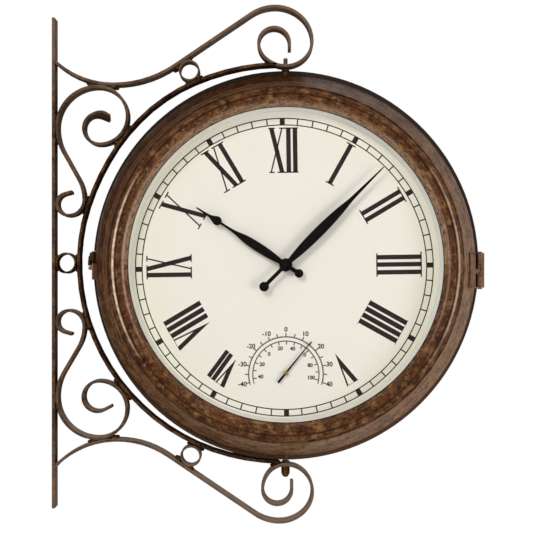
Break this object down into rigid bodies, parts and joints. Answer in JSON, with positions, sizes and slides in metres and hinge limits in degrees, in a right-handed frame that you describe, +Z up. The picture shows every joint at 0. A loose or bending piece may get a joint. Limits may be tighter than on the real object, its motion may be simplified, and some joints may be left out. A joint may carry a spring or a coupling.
{
  "type": "double-sided station clock",
  "caption": "Round double-faced station clock that swivels in a scrolled iron wall bracket, with a hinged front half, hands and thermometer pointers.",
  "frame": {"origin": "middle of the wall bar's back face, at the height of the middle ring", "axes": "+X from the wall towards the free end of the bracket, +Z up, the front dial faces -Y"},
  "size_m": [0.4223, 0.096, 0.5051],
  "materials": {
    "bracket_iron": "dark brown paint, worn lighter on the faces",
    "case_rust": "mottled rust-brown lacquer with streaks round the rim",
    "seal": "matt black",
    "cream_paint": "satin cream",
    "dial_print": "printed cream card, near-black print",
    "clear_glass": "clear",
    "hand_black": "satin black",
    "plain_steel": "plain",
    "brass": "dull",
    "movement_plastic": "moulded black",
    "cell_jacket": "plain jacket with no marks"
  },
  "bodies": {
    "bracket": {"wall_bar": "bracket_iron", "hoop": "bracket_iron", "upper_scroll": "bracket_iron", "lower_scroll": "bracket_iron", "upper_heart_scroll": "bracket_iron", "lower_heart_scroll": "bracket_iron", "upper_ring": "bracket_iron", "middle_ring": "bracket_iron", "lower_ring": "bracket_iron"},
    "case": {"rear_shell": "case_rust", "left_seam_gasket": "seal", "right_seam_gasket": "seal", "rear_glass": "clear_glass", "rear_dial_surround": "cream_paint", "rear_dial": "dial_print", "rear_dial_retainer": "plain_steel", "top_pivot_block": "plain_steel", "bottom_pivot_block": "plain_steel", "top_pivot_pin": "bracket_iron", "bottom_pivot_pin": "bracket_iron", "top_spacer": "bracket_iron", "bottom_spacer": "bracket_iron", "bottom_cap_nut": "bracket_iron", "rear_hinge_leaf": "case_rust", "hinge_pin": "case_rust", "latch_base": "bracket_iron", "rear_movement": "movement_plastic", "rear_movement_nut": "brass", "rear_battery": "cell_jacket", "rear_thermometer_cup": "plain_steel", "rear_thermometer_coil": "brass"},
    "door": {"front_shell": "case_rust", "front_glass": "clear_glass", "front_dial_surround": "cream_paint", "front_dial": "dial_print", "front_dial_retainer": "plain_steel", "front_hinge_leaf": "case_rust", "latch_keeper": "bracket_iron", "front_movement": "movement_plastic", "front_movement_nut": "brass", "front_battery": "cell_jacket", "front_thermometer_cup": "plain_steel", "front_thermometer_coil": "brass"},
    "latch": {"latch_lever": "bracket_iron"},
    "front_minute": {"front_minute_hand": "hand_black", "front_minute_arbor": "plain_steel", "front_hand_cap": "hand_black", "front_setting_knob": "movement_plastic"},
    "front_hour": {"front_hour_hand": "hand_black"},
    "front_thermometer": {"front_thermometer_pointer": "hand_black"},
    "rear_minute": {"rear_minute_hand": "hand_black", "rear_minute_arbor": "plain_steel", "rear_hand_cap": "hand_black", "rear_setting_knob": "movement_plastic"},
    "rear_hour": {"rear_hour_hand": "hand_black"},
    "rear_thermometer": {"rear_thermometer_pointer": "hand_black"}
  },
  "joints": [
    {"name": "case_swivel", "type": "hinge", "parent": "bracket", "child": "case", "pos_m": [0.2275, 0, 0], "axis": [0, 0, 1], "range_deg": [-90, 90]},
    {"name": "door_hinge", "type": "hinge", "parent": "case", "child": "door", "pos_m": [0.4179, 0, -0.0071], "axis": [0, 0, 1], "range_deg": [0, 170]},
    {"name": "latch_swing", "type": "hinge", "parent": "case", "child": "latch", "pos_m": [0.036, 0.0095, 0.0042], "axis": [-1, 0, 0], "range_deg": [0, 70]},
    {"name": "front_minute_turn", "type": "hinge", "parent": "door", "child": "front_minute", "pos_m": [0.2275, -0.03, -0.0022], "axis": [0, 1, 0], "continuous": true},
    {"name": "front_hour_turn", "type": "hinge", "parent": "door", "child": "front_hour", "pos_m": [0.2275, -0.028, -0.0022], "axis": [0, 1, 0], "continuous": true},
    {"name": "front_thermometer_turn", "type": "hinge", "parent": "door", "child": "front_thermometer", "pos_m": [0.2275, -0.024, -0.1066], "axis": [0, 1, 0], "range_deg": [-142, 64], "stiffness_Nm_per_rad": 0.0005},
    {"name": "rear_minute_turn", "type": "hinge", "parent": "case", "child": "rear_minute", "pos_m": [0.2275, 0.03, -0.0022], "axis": [0, -1, 0], "continuous": true},
    {"name": "rear_hour_turn", "type": "hinge", "parent": "case", "child": "rear_hour", "pos_m": [0.2275, 0.028, -0.0022], "axis": [0, -1, 0], "continuous": true},
    {"name": "rear_thermometer_turn", "type": "hinge", "parent": "case", "child": "rear_thermometer", "pos_m": [0.2275, 0.024, -0.1066], "axis": [0, -1, 0], "range_deg": [-142, 64], "stiffness_Nm_per_rad": 0.0005}
  ],
  "couplings": [
    {"joint": "front_hour_turn", "follows": "front_minute_turn", "ratio": 0.083333},
    {"joint": "rear_hour_turn", "follows": "rear_minute_turn", "ratio": 0.083333}
  ]
}
